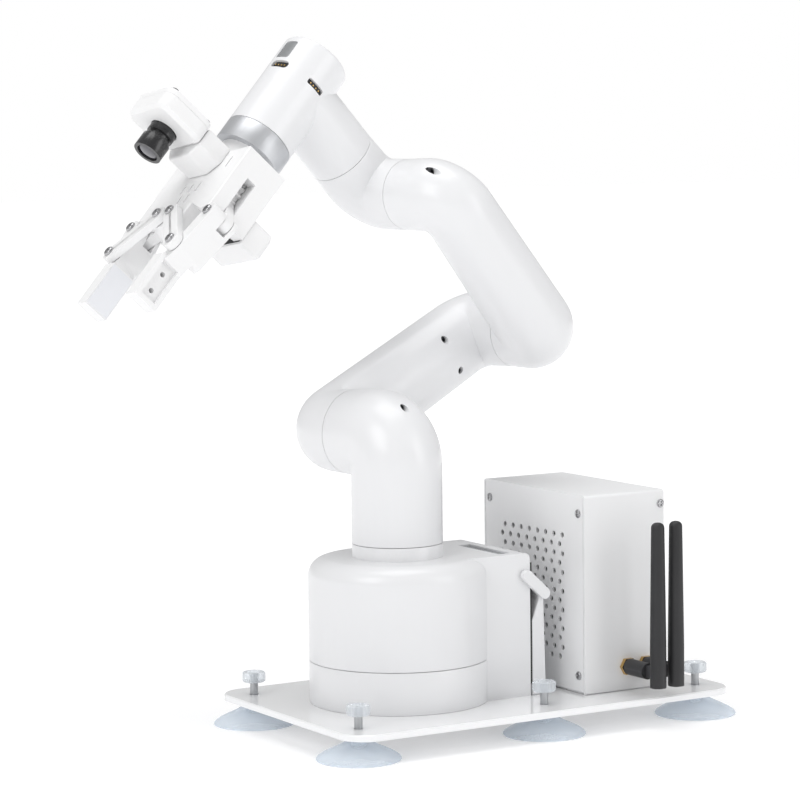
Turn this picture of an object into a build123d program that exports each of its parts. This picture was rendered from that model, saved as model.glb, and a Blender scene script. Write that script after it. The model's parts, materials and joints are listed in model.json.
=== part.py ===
"""Six-axis desktop robot arm on a suction-cup plate, with a two-finger gripper and a wrist camera.

Millimetres, +Z up. The origin is on the first joint's axis, in the plane that the suction cups rest on.
The arm stands in its rest pose, and every joint value is counted from it.
"""

import os
from math import cos, radians, sin

from build123d import *

os.makedirs("parts", exist_ok=True)

# ---------------------------------------------------------------- fits and walls
RUN = 0.06  # radial clearance of a turning pin
GAP = 0.3  # visible line between two casings
WALL = 2.4  # moulded casing wall
EASE = 0.6  # edge softening
FIT = 0.3  # clearance between fixed parts
PRESS = 0.02  # clearance of a pressed pin
SEAT = 0.1  # gap that keeps two touching faces apart

# ---------------------------------------------------------------- plate and cups
CUP_HEIGHT = 11.6
CUP_RADIUS = 20.5
CUP_ROWS = (-54, 52, 144)
CUP_SIDE = 52
PLATE_THICK = 3.2
PLATE_HALF = 70
PLATE_FRONT = -67
PLATE_BACK = 157
PLATE_CORNER = 14
DECK = CUP_HEIGHT + PLATE_THICK  # top face of the plate
STUD_RADIUS = 2.0
KNOB_RADIUS = 5.8
KNOB_HEIGHT = 5.0
KNOB_LIFT = 6.5
CUP_PLACES = [(x, y) for x in (-CUP_SIDE, CUP_SIDE) for y in CUP_ROWS]
CUP_NECK = 5.0
CUP_COLLAR = 2.5  # height of the neck above the bell
CUP_RIM = 0.8  # thickness of the bell's edge
CUP_LIP = 3.0  # width of the sealing lip

# ---------------------------------------------------------------- base housing
BASE_RADIUS = 44.6
BASE_HEIGHT = 72
BASE_SEAM = 21
BASE_ROUND = 9
NECK_HEIGHT = 78.7
BAY_HALF = 30
BAY_BACK = 58.7
BAY_ROUND = 3
REAR_GASKET = 1.3
REAR_COVER = 8
REAR_COVER_HEIGHT = 57
REAR_COVER_DRAFT = 1.5
NECK_BORE = 20.5
BADGE_AT = (6, 47)
BADGE_SIZE = (38, 7)
BADGE_DEPTH = 2.0
BADGE_SINK = 0.8  # how far the window lies below the deck
GASKET_FOOT = 6
GASKET_TOP = 67
LATCH_PIVOT = (55.5, 61)  # y, and height above the plate
LATCH_SLOPE = -43
LATCH_LENGTH = 14
LATCH_WIDTH = 5.6
LATCH_THICK = 3.0

# ---------------------------------------------------------------- controller case
CASE_HALF = 46
CASE_FRONT = 80.7
CASE_BACK = 129.2
CASE_HEIGHT = 100.3
CASE_SHEET = 1.2
VENT_RADIUS = 1.4
VENT_PITCH = 7.5
VENT_ROW = 4.76
VENT_SHIFT = 2.5
ANTENNA_Y = (106.3, 117.2)
ANTENNA_Z = 12.4
ANTENNA_X = 72.5
ANTENNA_TOP = 88
ANTENNA_FOOT = 5.4
CASE_ROUND = 1.5
CASE_SCREW_X = 40.5
CASE_SCREW_Z = (9.3, 91)
CASE_SIDE_SCREW = (2.2, 7)  # in from the back and down from the top
CASE_SCREW_HEAD = (2.16, 0.9)  # radius and height
SCREW_R = 1.5
VENT_ROWS = 14
VENT_COLUMNS = 8
VENT_TOP = 78.7
REAR_PORTS = ((-28, 30, 15, 14), (-10, 30, 15, 14), (10, 28, 16, 13), (30, 26, 12, 6))  # x, z, width, height
BOARD_SIZE = (80, 84)
BOARD_CORNER = 3
BOARD_THICK = 1.6
BOARD_INSET = 14
SMA_R = 3.1
SMA_HEX = 4.6
SMA_HEX_THICK = 2.2
SMA_THREAD = 8
SMA_INSIDE = 6
SWIVEL_START = 2.6  # from the case's side
WHIP_R = 4.1
WHIP_TIP_R = 3.3
WHIP_STEP = 20
BARREL_GAP = 8.4
TONGUE = 3.0  # thickness of the hinge tongue
TONGUE_R = 3.0

# ---------------------------------------------------------------- arm geometry
SHOULDER_Z = DECK + 131.6
ARM_OFFSET = 46.7
UPPER_ARM = 110.4
FOREARM = 95
WRIST_OFFSET = 57
WRIST_REACH = 73.5
BEND = 14  # centre-line radius of an elbow
LOW_BEND = 5  # the same where a link leaves its lower joint, a fuller bulge
SHOULDER_SEAM = 31  # from the column axis
ELBOW_SEAM = 15.3  # from the forearm axis
WRIST_SEAM = 28.5  # from the forearm axis
ROLL_SEAM = 28.3  # from the wrist pitch axis

COLUMN_R = 22.7
SHOULDER_R = 21.4
UPPER_LOW_R = 21.0
UPPER_TOP_R = 20.1
ELBOW_R = 19.6
FOREARM_R = 19.9
WRIST_R = 18.0
ROLL_R = 17.4
HEAD_R = 17.9
HEAD_TOP = 23
HEAD_END = 32
FLANGE_END = 44.5
FOREARM_TOP_R = 18.5
COLUMN_FOOT = DECK + NECK_HEIGHT + GAP
COLUMN_WINDOW = (40, 12)  # length, and depth of its plane from the tube's middle
UPPER_WINDOW = (62, 7)
FORE_WINDOW = (52, 6)
SCREW_WELL = 1.9
WELL_DEPTH = 29
COLUMN_SCREW = (14.6, -2)  # beside the corner, along and across the link
FORE_SCREW = (15.3, 1.2)
UPPER_SCREWS = ((-35.5, -12), (-35, 6))
HEAD_EASE = 1.6
HEAD_OPENINGS = (  # height, angle, (length, width, corner)
    (-13.5, 78, (11, 9, 1.5)),
    (-3.6, 71, (4.4, 11, 2.1)),
    (-2.4, -5, (3.2, 10.5, 1.0)),
)
KEY_SINK = 0.4
PORT_SINK = 1.4

# ---------------------------------------------------------------- servos and flanges
BASE_SERVO_DEPTH = 42
SERVO_DEPTH = 22
SERVO_FLANGE = 4.0
GEARBOX_SHARE = 0.8  # gearbox radius over mounting flange radius
SHAFT_R = 5.0
SHAFT_LENGTH = 9.0
FLANGE_BORE = 8.0
FLANGE_BORE_DEPTH = 3.0
FLANGE_PCD = 24.0
FLANGE_SCREW = 1.6
FLANGE_SCREW_DEPTH = 5.0
ADAPTER_R = 14.0

# ---------------------------------------------------------------- rest pose
ARM_AZIMUTH = 191.65
UPPER_LEAN = 65.0
FOREARM_LEAN = -41.5
WRIST_LEAN = -45.6
TOOL_TURN = 11.5

# ---------------------------------------------------------------- gripper
GRIP_BACK = 55
GRIP_FRONT = 94
GRIP_WAIST = 88
GRIP_NOSE = 102
GRIP_HALF = 34
GRIP_SHOULDER = 8  # width of the front face beside each crank
NOSE_HALF = 12
GRIP_TOP = 14
GRIP_BOTTOM = -10.5
POCKET_X = (63, 85)
POCKET_HALF = 30
POCKET_ROOF = -3
TOP_SLOTS = (  # x, y, length, width
    (63, 22, 7, 1.6),
    (77, 0, 6, 1.6),
    (77, 7, 6, 1.6),
    (77, -7, 6, 1.6),
    (84, 3.5, 6, 1.6),
    (84, -3.5, 6, 1.6),
)
TOP_SLOT_DEPTH = 1.2
GEAR_AT = (75.5, 13.6)
GEAR_TEETH = 20
GEAR_ROOT = 12.5
GEAR_CAVITY = 15.0
TOOTH_ROOT = 2.3
TOOTH_HEIGHT = 2.0
TOOTH_FLANK = 72
TOOTH_SINK = 0.2
CRANK_END = (97.2, 37.3)
CRANK_LOW, CRANK_HIGH = 0.4, 5.4
CRANK_HUB_R = 6
CRANK_TIP_R = 4.2
CRANK_SLOT_IN = 9.8
CRANK_SLOT_X = 68.5
AXLE_REACH = 4  # how far a gear's axle runs into the housing on each side
LINK_AT = (96.5, 6.2)
LINK_HIGH = 18.2
LINK_R = 4.6
FINGER_LOW = -2.2
FINGER_BOSS = 4.6
FORK_DEPTH = (20, 6.1)  # behind and ahead of the crank's pin
FORK_WIDTH = (7.5, 10)  # inside and outside the crank's pin
PAD_IN, PAD_OUT = 20, 29
PAD_LOW, PAD_HIGH = 2.3, 16.4
PAD_START, PAD_END = 125, 150.5
PAD_NECK_R = 4
PAD_NECK_REACH = 4
PAD_RECESS = 2.5
PAD_RECESS_START = 3
PAD_BOLTS = (8, 18)
PAD_BOLT_R = 1.3
PIVOT_R = 1.5
PIN_R = 2.0
SCREW_HEAD_R = 2.7
SCREW_HEAD = 1.5
SCREW_TAIL = 0.8
COVER_X = (81, 96)
COVER_Y = (-1, 33)
COVER_FLOOR = -24.5
COVER_WALL = 1.5
COVER_CHAMFER = 2.0
MOTOR_X = (83.2, 93.8)
MOTOR_Y = (2, 30)
MOTOR_Z = (-22.6, -11.4)

# ---------------------------------------------------------------- wrist camera
CAMERA_H = (53, 65)
CAMERA_N = (29, 58)
CAMERA_HALF = 18
LENS_N = 42.5
CAM_BACK = 3.0
CAM_CORNER = 6.0
CAM_CHAMFER = 2.0
CAM_WALL = 2.5
CAM_FACE = 2.0  # thickness behind the lens's mount
CAM_SCREW_X = 14.4
CAM_SCREW_Y = 10.8
CAM_SCREW_HEAD = (2.2, 1.2)
LENS_MOUNT = 7.0
LENS_NECK = 5.6
LENS_BARREL = 7.4
LENS_LENGTHS = (4, 3, 8)  # mount ahead of the body's inside, neck and barrel
LENS_DISH = 1.2
STEM_X = (54, 70)
STEM_HALF = 15
STEM_CHAMFER = 6

# ---------------------------------------------------------------- joint frames
X, Y, Z = Vector(1, 0, 0), Vector(0, 1, 0), Vector(0, 0, 1)
SIDE = Vector(cos(radians(ARM_AZIMUTH)), sin(radians(ARM_AZIMUTH)), 0)
AHEAD = SIDE.cross(Z)


def lean(angle):
    """Unit vector that leans from vertical by an angle in the arm's plane."""
    return Z * cos(radians(angle)) + AHEAD * sin(radians(angle))


UP_ARM, FORE, ROLL = lean(UPPER_LEAN), lean(FOREARM_LEAN), lean(WRIST_LEAN)
UP_ACROSS, FORE_ACROSS = lean(UPPER_LEAN + 90), lean(FOREARM_LEAN + 90)
SHOULDER = Z * SHOULDER_Z
LOW_ELBOW = SHOULDER + SIDE * ARM_OFFSET
HIGH_ELBOW = LOW_ELBOW + UP_ARM * UPPER_ARM
FORE_LOW = SHOULDER + UP_ARM * UPPER_ARM
FORE_HIGH = FORE_LOW + FORE * FOREARM
WRIST = FORE_HIGH + SIDE * WRIST_OFFSET
HEAD = WRIST + ROLL * WRIST_REACH
TOOL = ROLL.cross(SIDE)  # the tool flange's axis
JAW = ROLL * sin(radians(TOOL_TURN)) - SIDE * cos(radians(TOOL_TURN))  # the way the right finger opens
FACE = TOOL.cross(JAW)  # out of the gripper's upper face


def save(piece, name):
    """Label a finished piece and write its STEP file."""
    piece.part.label = name
    export_step(piece.part, f"parts/{name}.step")


def disc(centre, along, radius, length, mode=Mode.ADD):
    """Cylinder from a centre along a direction."""
    with BuildSketch(Plane(origin=centre, z_dir=along)) as profile:
        Circle(radius)
    extrude(profile.sketch, amount=length, mode=mode)


def leg(start, along, length, r_start, r_end, mode=Mode.ADD):
    """Round tube length that may taper."""
    if r_start == r_end:
        disc(start, along, r_start, length, mode)
        return
    with Locations(Plane(origin=start, z_dir=along)):
        Cone(r_start, r_end, length, align=(Align.CENTER, Align.CENTER, Align.MIN), mode=mode)


def elbow(corner, into, out, radius, mode=Mode.ADD, bend=BEND):
    """Quarter bend of a round tube; the tube may be wider than the bend's own radius."""
    start = corner - into * bend
    with BuildSketch(Plane(origin=start, x_dir=out, z_dir=into)) as profile:
        Circle(radius)
        with Locations((bend / 2 - radius, 0)):
            Rectangle(bend + 2 * radius, 3 * radius, mode=Mode.INTERSECT)
    revolve(profile.sketch, axis=Axis(start + out * bend, into.cross(out)), revolution_arc=90, mode=mode)


def slab(plane, size, mode=Mode.ADD):
    """Box centred on a plane's origin and standing on it."""
    with BuildSketch(plane) as profile:
        Rectangle(size[0], size[1])
    extrude(profile.sketch, amount=size[2], mode=mode)


def column_tube(inset, mode=Mode.ADD):
    """Column: up from the neck, then sideways to the shoulder seam."""
    radius = COLUMN_R - inset
    leg(Z * COLUMN_FOOT, Z, SHOULDER_Z - BEND - COLUMN_FOOT, radius, radius, mode)
    elbow(SHOULDER, Z, SIDE, radius, mode)
    leg(SHOULDER + SIDE * BEND, SIDE, SHOULDER_SEAM - BEND, radius, SHOULDER_R - inset, mode)


def link_tube(low, high, along, low_leg, high_leg, radii, inset, mode=Mode.ADD):
    """Arm link: leg from the lower seam, elbow, tapering tube, elbow and leg to the upper seam."""
    r_seam, r_low, r_high, r_end = [r - inset for r in radii]
    (low_dir, low_seam), (high_dir, high_seam) = low_leg, high_leg
    leg(low - low_dir * low_seam, low_dir, low_seam - LOW_BEND, r_seam, r_low, mode)
    elbow(low, low_dir, along, r_low, mode, LOW_BEND)
    leg(low + along * LOW_BEND, along, (high - low).length - LOW_BEND - BEND, r_low, r_high, mode)
    elbow(high, along, high_dir, r_high, mode)
    leg(high + high_dir * BEND, high_dir, high_seam - BEND, r_high, r_end, mode)


def upper_tube(inset, mode=Mode.ADD):
    """Upper arm between the shoulder seam and the elbow seam."""
    low_leg = (SIDE, ARM_OFFSET - SHOULDER_SEAM - GAP)
    high_leg = (-SIDE, ARM_OFFSET - ELBOW_SEAM)
    radii = (SHOULDER_R, UPPER_LOW_R, UPPER_TOP_R, ELBOW_R)
    link_tube(LOW_ELBOW, HIGH_ELBOW, UP_ARM, low_leg, high_leg, radii, inset, mode)


def fore_tube(inset, mode=Mode.ADD):
    """Forearm between the elbow seam and the wrist seam."""
    low_leg = (-SIDE, ELBOW_SEAM - GAP)
    high_leg = (SIDE, WRIST_SEAM)
    radii = (ELBOW_R, FOREARM_R, FOREARM_TOP_R, WRIST_R)
    link_tube(FORE_LOW, FORE_HIGH, FORE, low_leg, high_leg, radii, inset, mode)


def wrist_tube(inset, mode=Mode.ADD):
    """Wrist link: in from the forearm, then along the roll axis."""
    low_leg = WRIST_OFFSET - WRIST_SEAM - GAP
    radius = WRIST_R - inset
    leg(WRIST - SIDE * low_leg, SIDE, low_leg - BEND, radius, radius, mode)
    elbow(WRIST, SIDE, ROLL, radius, mode)
    leg(WRIST + ROLL * BEND, ROLL, ROLL_SEAM - BEND, radius, ROLL_R - inset, mode)


def mouth(seam, inward, shell_radius, depth):
    """Bore behind a seam for a joint's servo or output flange."""
    rim = shell_radius - WALL
    disc(seam, inward, rim, SERVO_FLANGE + GAP, Mode.SUBTRACT)
    disc(seam, inward, rim * GEARBOX_SHARE + FIT, depth + GAP, Mode.SUBTRACT)


def column_room():
    """Room in the column for its two joints."""
    mouth(SHOULDER + SIDE * SHOULDER_SEAM, -SIDE, SHOULDER_R, SERVO_DEPTH)


def upper_room():
    """Room in the upper arm for its two joints and for the column beside it."""
    seam = SHOULDER + SIDE * (SHOULDER_SEAM + GAP)
    disc(seam, -SIDE, SHOULDER_R + 3 * GAP, ARM_OFFSET, Mode.SUBTRACT)
    mouth(seam, SIDE, SHOULDER_R, SERVO_FLANGE)
    mouth(FORE_LOW + SIDE * ELBOW_SEAM, SIDE, ELBOW_R, SERVO_DEPTH)


def fore_room():
    """Room in the forearm for its two joints and for the upper arm beside it."""
    seam = FORE_LOW + SIDE * (ELBOW_SEAM - GAP)
    disc(seam, SIDE, ELBOW_R + 2 * GAP, ARM_OFFSET, Mode.SUBTRACT)
    mouth(seam, -SIDE, ELBOW_R, SERVO_FLANGE)
    mouth(FORE_HIGH + SIDE * WRIST_SEAM, -SIDE, WRIST_R, SERVO_DEPTH)


def cased_link(names, tube, room, middle, along, facing, window, holes=()):
    """Hollow link casing with a window, and the fitted panel that closes the window."""
    length, depth = window
    wide = 3 * COLUMN_R
    plane = Plane(origin=middle + facing * depth, x_dir=along, z_dir=facing)
    with BuildPart() as casing:
        tube(0)
        tube(WALL, Mode.SUBTRACT)
        room()
        slab(plane, (length, wide, wide), Mode.SUBTRACT)
        for centre, aim, radius in holes:
            disc(centre, aim, radius, WELL_DEPTH, Mode.SUBTRACT)
    save(casing, names[0])
    with BuildPart() as panel:
        tube(0)
        tube(WALL, Mode.SUBTRACT)
        room()
        slab(plane.offset(GAP), (length - 2 * GAP, wide, wide), Mode.INTERSECT)
    save(panel, names[1])


def servo(name, seam, along, shell_radius, depth):
    """Joint servo behind a seam: mounting flange, gearbox, motor block and an output bore."""
    rim = shell_radius - WALL - FIT
    back = -along
    with BuildPart() as body:
        disc(seam, back, rim, SERVO_FLANGE)
        disc(seam + back * SERVO_FLANGE, back, rim * GEARBOX_SHARE, depth - SERVO_FLANGE)
        disc(seam, back, SHAFT_R + RUN, SHAFT_LENGTH + 1, Mode.SUBTRACT)
    save(body, name)


def output_flange(name, seam, along, shell_radius):
    """Output flange in the child's mouth, with a shaft that turns in the servo."""
    rim = shell_radius - WALL - FIT
    with BuildPart() as flange:
        disc(seam + along * GAP, along, rim, SERVO_FLANGE)
        disc(seam + along * GAP, -along, SHAFT_R, SHAFT_LENGTH + GAP)
    save(flange, name)


# ================================================================ plate and cups
with BuildPart() as base_plate:
    with BuildSketch(Plane.XY.offset(CUP_HEIGHT)):
        with Locations((0, (PLATE_FRONT + PLATE_BACK) / 2)):
            RectangleRounded(2 * PLATE_HALF, PLATE_BACK - PLATE_FRONT, PLATE_CORNER)
        with Locations(CUP_PLACES):
            Circle(STUD_RADIUS + FIT, mode=Mode.SUBTRACT)
    extrude(amount=PLATE_THICK)
    chamfer(base_plate.faces().sort_by(Axis.Z)[-1].outer_wire().edges(), EASE)
save(base_plate, "base_plate")

with BuildPart() as suction_cups:
    with BuildSketch(Plane.XZ):
        with BuildLine():
            middle = (CUP_RADIUS * 0.72, CUP_HEIGHT * 0.45)
            bell = Spline((CUP_RADIUS, CUP_RIM), middle, (CUP_NECK, CUP_HEIGHT - CUP_COLLAR))
            Polyline(bell @ 1, (CUP_NECK, CUP_HEIGHT), (0, CUP_HEIGHT), (0, CUP_HEIGHT * 0.6))
            Line((0, CUP_HEIGHT * 0.6), (CUP_RADIUS - CUP_LIP, 0))
            Polyline((CUP_RADIUS - CUP_LIP, 0), (CUP_RADIUS, 0), bell @ 0)
        make_face()
    revolve(axis=Axis.Z)
    cup = suction_cups.part
with BuildPart() as cup_group:
    with Locations([(x, y, 0) for x, y in CUP_PLACES]):
        add(cup)
save(cup_group, "suction_cups")

with BuildPart() as cup_studs:
    for x, y in CUP_PLACES:
        disc(Vector(x, y, CUP_HEIGHT), Z, STUD_RADIUS, PLATE_THICK + KNOB_LIFT + KNOB_HEIGHT - 1)
save(cup_studs, "cup_studs")

with BuildPart() as cup_knobs:
    for x, y in CUP_PLACES:
        with BuildSketch(Plane.XY.offset(DECK + KNOB_LIFT)):
            with Locations((x, y)):
                Circle(KNOB_RADIUS)
                Circle(STUD_RADIUS + FIT, mode=Mode.SUBTRACT)
        extrude(amount=KNOB_HEIGHT)
    chamfer(cup_knobs.edges().filter_by(GeomType.CIRCLE).group_by(SortBy.RADIUS)[-1], EASE)
save(cup_knobs, "cup_knobs")

# ================================================================ base housing
BASE_FLOOR = Plane.XY.offset(DECK)
BASE_TOP = DECK + BASE_HEIGHT
LATCH_AT = Vector(BAY_HALF, LATCH_PIVOT[0], DECK + LATCH_PIVOT[1])


def bay_outline(inset):
    """Rectangle of the connector bay, from the base's axis to its rear face."""
    with Locations((0, BAY_BACK / 2)):
        Rectangle(2 * (BAY_HALF - inset), BAY_BACK - 2 * inset)


with BuildPart() as base_ring:
    with BuildSketch(BASE_FLOOR):
        Circle(BASE_RADIUS)
        Circle(BASE_RADIUS - WALL, mode=Mode.SUBTRACT)
        with Locations((0, BAY_BACK / 2)):
            Rectangle(2 * BAY_HALF + 2 * FIT, BAY_BACK + 2 * FIT, mode=Mode.SUBTRACT)
    extrude(amount=BASE_SEAM)
save(base_ring, "base_ring")

with BuildPart() as base_shell:
    with BuildSketch(BASE_FLOOR.offset(BASE_SEAM + GAP)):
        Circle(BASE_RADIUS)
    extrude(amount=BASE_HEIGHT - BASE_SEAM - GAP)
    fillet(base_shell.faces().sort_by(Axis.Z)[-1].edges(), BASE_ROUND)
    with BuildSketch(BASE_FLOOR):
        bay_outline(0)
    extrude(amount=BASE_HEIGHT)
    rear = base_shell.faces().sort_by(Axis.Y)[-1]
    fillet(rear.edges().sort_by(Axis.Z)[-1], BAY_ROUND)
    with BuildSketch(BASE_FLOOR.offset(BASE_SEAM)):
        Circle(BASE_RADIUS - WALL)
    extrude(amount=BASE_HEIGHT - BASE_SEAM - BASE_ROUND, mode=Mode.SUBTRACT)
    with BuildSketch(BASE_FLOOR):
        bay_outline(WALL)
    extrude(amount=BASE_HEIGHT - WALL - BAY_ROUND, mode=Mode.SUBTRACT)
    with BuildSketch(Plane.XY.offset(BASE_TOP)):
        Circle(COLUMN_R)
    extrude(amount=NECK_HEIGHT - BASE_HEIGHT)
    with BuildSketch(BASE_FLOOR.offset(BASE_SEAM)):
        Circle(NECK_BORE)
    extrude(amount=BASE_HEIGHT, mode=Mode.SUBTRACT)
    with BuildSketch(Plane.XY.offset(BASE_TOP)):
        with Locations(BADGE_AT):
            Rectangle(*BADGE_SIZE)
    extrude(amount=-BADGE_DEPTH, mode=Mode.SUBTRACT)
    disc(LATCH_AT, -X, PIVOT_R + RUN, 2 * WALL, Mode.SUBTRACT)
save(base_shell, "base_shell")

with BuildPart() as status_window:
    with BuildSketch(Plane.XY.offset(BASE_TOP - BADGE_DEPTH)):
        with Locations(BADGE_AT):
            Rectangle(BADGE_SIZE[0] - FIT, BADGE_SIZE[1] - FIT)
    extrude(amount=BADGE_DEPTH - BADGE_SINK)
save(status_window, "status_window")

with BuildPart() as rear_gasket:
    with BuildSketch(Plane(origin=(0, BAY_BACK, DECK + GASKET_FOOT), x_dir=X, z_dir=Y)):
        with Locations((0, -(GASKET_TOP - GASKET_FOOT) / 2)):
            Rectangle(2 * BAY_HALF - 1, GASKET_TOP - GASKET_FOOT)
    extrude(amount=REAR_GASKET)
save(rear_gasket, "rear_gasket")

with BuildPart() as rear_cover:
    front = BAY_BACK + REAR_GASKET
    with BuildSketch(Plane(origin=(-BAY_HALF, 0, 0), x_dir=Y, z_dir=X)):
        with BuildLine():
            Polyline(
                (front, DECK),
                (front + REAR_COVER, DECK),
                (front + REAR_COVER - REAR_COVER_DRAFT, DECK + REAR_COVER_HEIGHT),
                (front + REAR_COVER / 2, DECK + REAR_COVER_HEIGHT),
                (front + REAR_COVER / 2, DECK + REAR_COVER_HEIGHT * 0.84),
                (front, DECK + REAR_COVER_HEIGHT * 0.66),
                close=True,
            )
        make_face()
    extrude(amount=2 * BAY_HALF)
save(rear_cover, "rear_cover")

with BuildPart() as latch_lever:
    with BuildSketch(Plane(origin=LATCH_AT + X * GAP, x_dir=Y, z_dir=X)):
        with Locations(Rotation(0, 0, LATCH_SLOPE)):
            with Locations((LATCH_LENGTH / 2, 0)):
                SlotCenterToCenter(LATCH_LENGTH, LATCH_WIDTH)
    extrude(amount=LATCH_THICK)
    disc(LATCH_AT + X * GAP, -X, PIVOT_R, WALL)
save(latch_lever, "latch_lever")

servo("servo_base", Z * (DECK + NECK_HEIGHT), Z, COLUMN_R, BASE_SERVO_DEPTH)
output_flange("flange_base", Z * (DECK + NECK_HEIGHT), Z, COLUMN_R)

# ================================================================ controller case
CASE_MID = (CASE_FRONT + CASE_BACK) / 2
CASE_DEPTH = CASE_BACK - CASE_FRONT
CASE_TOP = DECK + CASE_HEIGHT
FACE_Y = Plane(origin=(0, CASE_FRONT, DECK), x_dir=X, z_dir=-Y)  # local y points up
PANEL_SCREWS = [(x, z) for x in (-CASE_SCREW_X, CASE_SCREW_X) for z in CASE_SCREW_Z]
CASE_SIDE = Plane(origin=(CASE_HALF, 0, DECK), x_dir=Y, z_dir=X)

with BuildPart() as case_cover:
    with BuildSketch(BASE_FLOOR):
        with Locations((0, CASE_MID)):
            Rectangle(2 * CASE_HALF, CASE_DEPTH)
    extrude(amount=CASE_HEIGHT)
    fillet(case_cover.edges().filter_by(Axis.Y), CASE_ROUND)
    with BuildSketch(BASE_FLOOR.offset(-1)):
        with Locations((0, CASE_MID)):
            Rectangle(2 * (CASE_HALF - CASE_SHEET), CASE_DEPTH + 2)
    extrude(amount=CASE_HEIGHT - CASE_SHEET + 1, mode=Mode.SUBTRACT)
    with BuildSketch(CASE_SIDE):
        with Locations([(y, ANTENNA_Z) for y in ANTENNA_Y]):
            Circle(SMA_R + FIT)
        with Locations((CASE_BACK - CASE_SIDE_SCREW[0], CASE_HEIGHT - CASE_SIDE_SCREW[1])):
            Circle(SCREW_R)
    extrude(amount=-3 * CASE_SHEET, mode=Mode.SUBTRACT)
save(case_cover, "case_cover")

with BuildPart() as case_front:
    with BuildSketch(FACE_Y.offset(-CASE_SHEET)):
        with Locations((0, CASE_HEIGHT / 2)):
            Rectangle(2 * (CASE_HALF - CASE_SHEET - FIT), CASE_HEIGHT - 2 * CASE_SHEET)
        with Locations(PANEL_SCREWS):
            Circle(SCREW_R, mode=Mode.SUBTRACT)
        for row in range(VENT_ROWS):
            start = -VENT_PITCH * (VENT_COLUMNS - 1) / 2 - VENT_SHIFT * (row % 2)
            height = VENT_TOP - row * VENT_ROW
            with Locations([(start + VENT_PITCH * i, height) for i in range(VENT_COLUMNS)]):
                Circle(VENT_RADIUS, mode=Mode.SUBTRACT)
    extrude(amount=CASE_SHEET)
save(case_front, "case_front_panel")

with BuildPart() as case_tray:
    with BuildSketch(CASE_SIDE.offset(-CASE_SHEET - FIT)):
        with BuildLine():
            Polyline(
                (CASE_FRONT + CASE_SHEET + FIT, 0),
                (CASE_BACK, 0),
                (CASE_BACK, CASE_HEIGHT - CASE_SHEET - FIT),
                (CASE_BACK - CASE_SHEET, CASE_HEIGHT - CASE_SHEET - FIT),
                (CASE_BACK - CASE_SHEET, CASE_SHEET),
                (CASE_FRONT + CASE_SHEET + FIT, CASE_SHEET),
                close=True,
            )
        make_face()
    extrude(amount=-2 * (CASE_HALF - CASE_SHEET - FIT))
    with BuildSketch(Plane(origin=(0, CASE_BACK, DECK), x_dir=-X, z_dir=Y)):
        for x, z, wide, tall in REAR_PORTS:
            with Locations((x, z)):
                Rectangle(wide, tall)
    extrude(amount=-2 * CASE_SHEET, mode=Mode.SUBTRACT)
save(case_tray, "case_tray")

with BuildPart() as case_screws:
    for x, z in PANEL_SCREWS:
        seat = Vector(x, CASE_FRONT, DECK + z)
        disc(seat, -Y, *CASE_SCREW_HEAD)
        disc(seat, Y, SCREW_R - RUN, CASE_SHEET * 3)
    side_seat = Vector(CASE_HALF, CASE_BACK - CASE_SIDE_SCREW[0], CASE_TOP - CASE_SIDE_SCREW[1])
    disc(side_seat, X, *CASE_SCREW_HEAD)
    disc(side_seat, -X, SCREW_R - RUN, CASE_SHEET)
save(case_screws, "case_screws")

with BuildPart() as computer_board:
    with BuildSketch(Plane(origin=(0, CASE_BACK - BOARD_INSET, DECK + CASE_HEIGHT / 2), x_dir=X, z_dir=-Y)):
        RectangleRounded(*BOARD_SIZE, BOARD_CORNER)
    extrude(amount=BOARD_THICK)
save(computer_board, "computer_board")

with BuildPart() as sma_jacks:
    for y in ANTENNA_Y:
        seat = Vector(CASE_HALF, y, DECK + ANTENNA_Z)
        with BuildSketch(Plane(origin=seat, x_dir=Y, z_dir=X)):
            RegularPolygon(SMA_HEX, 6)
        extrude(amount=SMA_HEX_THICK)
        disc(seat, -X, SMA_R, SMA_INSIDE)
        disc(seat, X, SMA_R, SMA_THREAD)
save(sma_jacks, "sma_jacks")

for side, y in zip("ab", ANTENNA_Y, strict=True):
    root = Vector(CASE_HALF + SWIVEL_START, y, DECK + ANTENNA_Z)
    hinge_at = Vector(ANTENNA_X, y, DECK + ANTENNA_Z)
    barrel = ANTENNA_X - CASE_HALF - SWIVEL_START - BARREL_GAP
    with BuildPart() as swivel:
        disc(root, X, WHIP_R, barrel)
        disc(root, X, SMA_R + RUN, SMA_THREAD - SMA_HEX_THICK, Mode.SUBTRACT)
        slab(Plane(origin=root + X * (barrel - 1), x_dir=Y, z_dir=X), (TONGUE, 2 * TONGUE_R, BARREL_GAP + 1))
        disc(hinge_at - Y * TONGUE / 2, Y, TONGUE_R, TONGUE)
        disc(hinge_at - Y * WHIP_R, Y, PIVOT_R + RUN, 2 * WHIP_R, Mode.SUBTRACT)
    save(swivel, f"antenna_swivel_{side}")
    with BuildPart() as whip:
        foot = Vector(ANTENNA_X, y, DECK + ANTENNA_FOOT)
        leg(foot, Z, WHIP_STEP, WHIP_R, WHIP_R)
        leg(foot + Z * WHIP_STEP, Z, ANTENNA_TOP - ANTENNA_FOOT - WHIP_STEP, WHIP_R, WHIP_TIP_R)
        fillet(whip.faces().sort_by(Axis.Z)[-1].edges(), WHIP_TIP_R * 0.8)
        yoke = Plane(origin=hinge_at - X * (WHIP_R + 1) - Z * TONGUE_R, x_dir=Y, z_dir=X)
        slot = (TONGUE + 2 * FIT, 2 * (ANTENNA_Z - ANTENNA_FOOT), WHIP_R + 1 + TONGUE_R + FIT)
        slab(yoke, slot, Mode.SUBTRACT)
        disc(hinge_at - Y * (WHIP_R - EASE), Y, PIVOT_R, 2 * (WHIP_R - EASE))
    save(whip, f"antenna_whip_{side}")

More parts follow.
